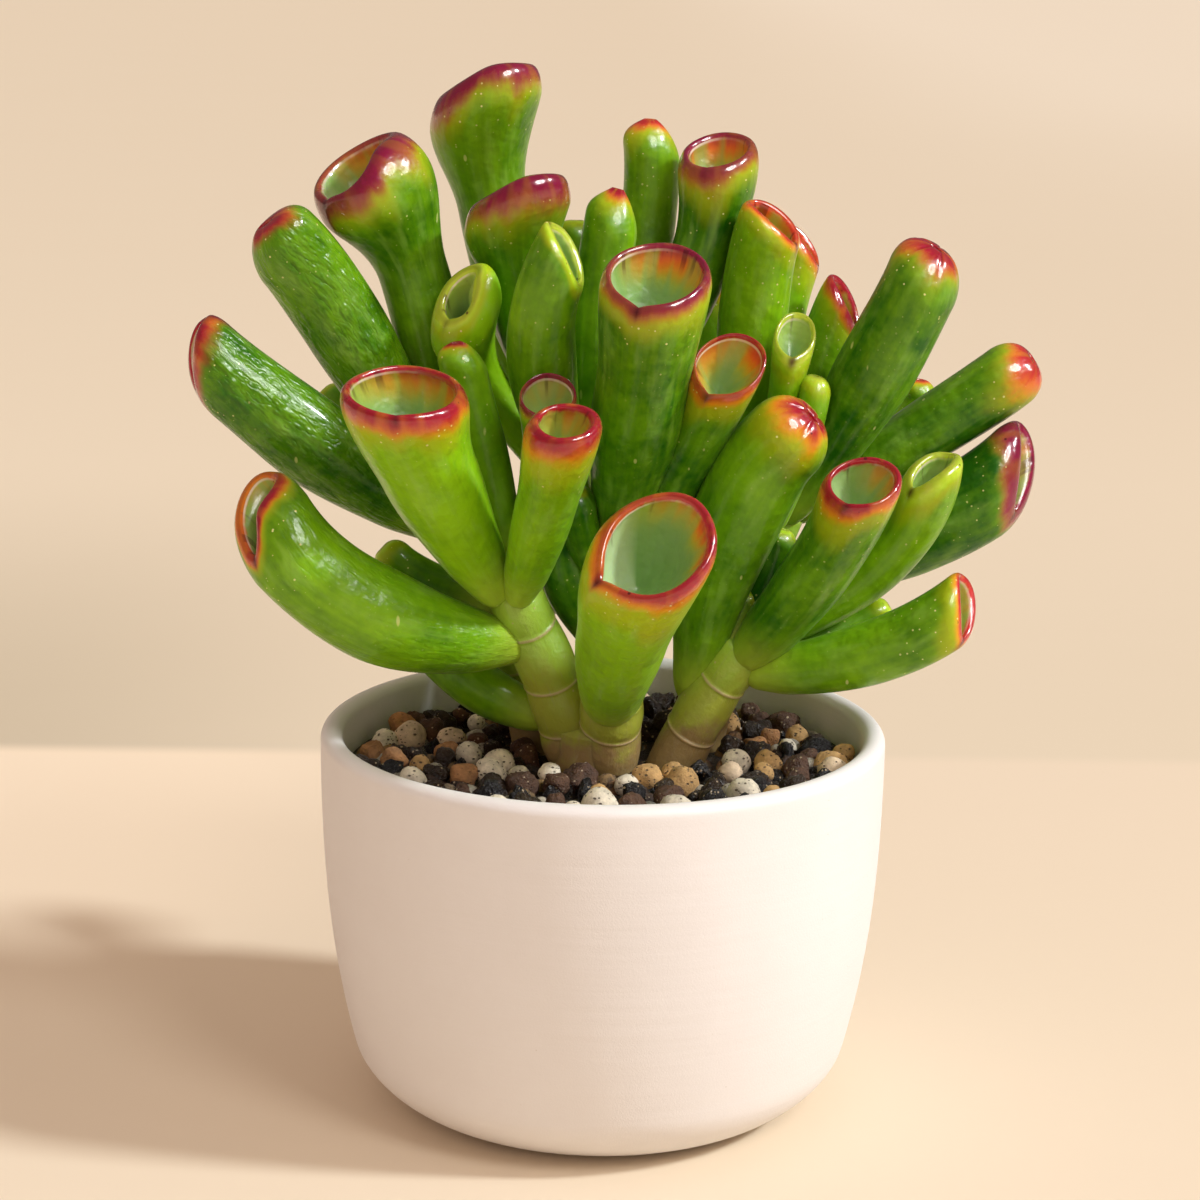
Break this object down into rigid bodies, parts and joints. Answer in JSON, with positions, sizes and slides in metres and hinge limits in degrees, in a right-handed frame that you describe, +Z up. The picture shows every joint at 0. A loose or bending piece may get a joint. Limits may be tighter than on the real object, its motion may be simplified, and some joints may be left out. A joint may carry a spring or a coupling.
{
  "type": "potted trumpet jade",
  "caption": "Small succulent with tube-shaped green leaves that flare to cupped, red-rimmed ends, standing in coarse mineral soil in a plain round ceramic pot.",
  "frame": {"origin": "centre of the flat foot that the pot stands on", "axes": "+Z up, from the foot to the leaf tips; -Y towards the plant's front; +X to the right as seen from the front"},
  "size_m": [0.1331, 0.1047, 0.1635],
  "materials": {
    "pot_ceramic": "matte off-white, unglazed look, very finely grained",
    "soil": "loose pumice, lava and baked clay grains, dry and matte",
    "leaf": "fleshy and glossy, green with crimson and orange rims, olive-brown stems with pale ring scars"
  },
  "bodies": {
    "root": {"pot": "pot_ceramic", "soil_mix": "soil", "leafy_stem_front_left": "leaf", "leafy_stem_front_right": "leaf", "leafy_stem_centre": "leaf", "leafy_stem_back_left": "leaf", "leafy_stem_back_right": "leaf", "leafy_stem_back": "leaf"}
  },
  "joints": []
}
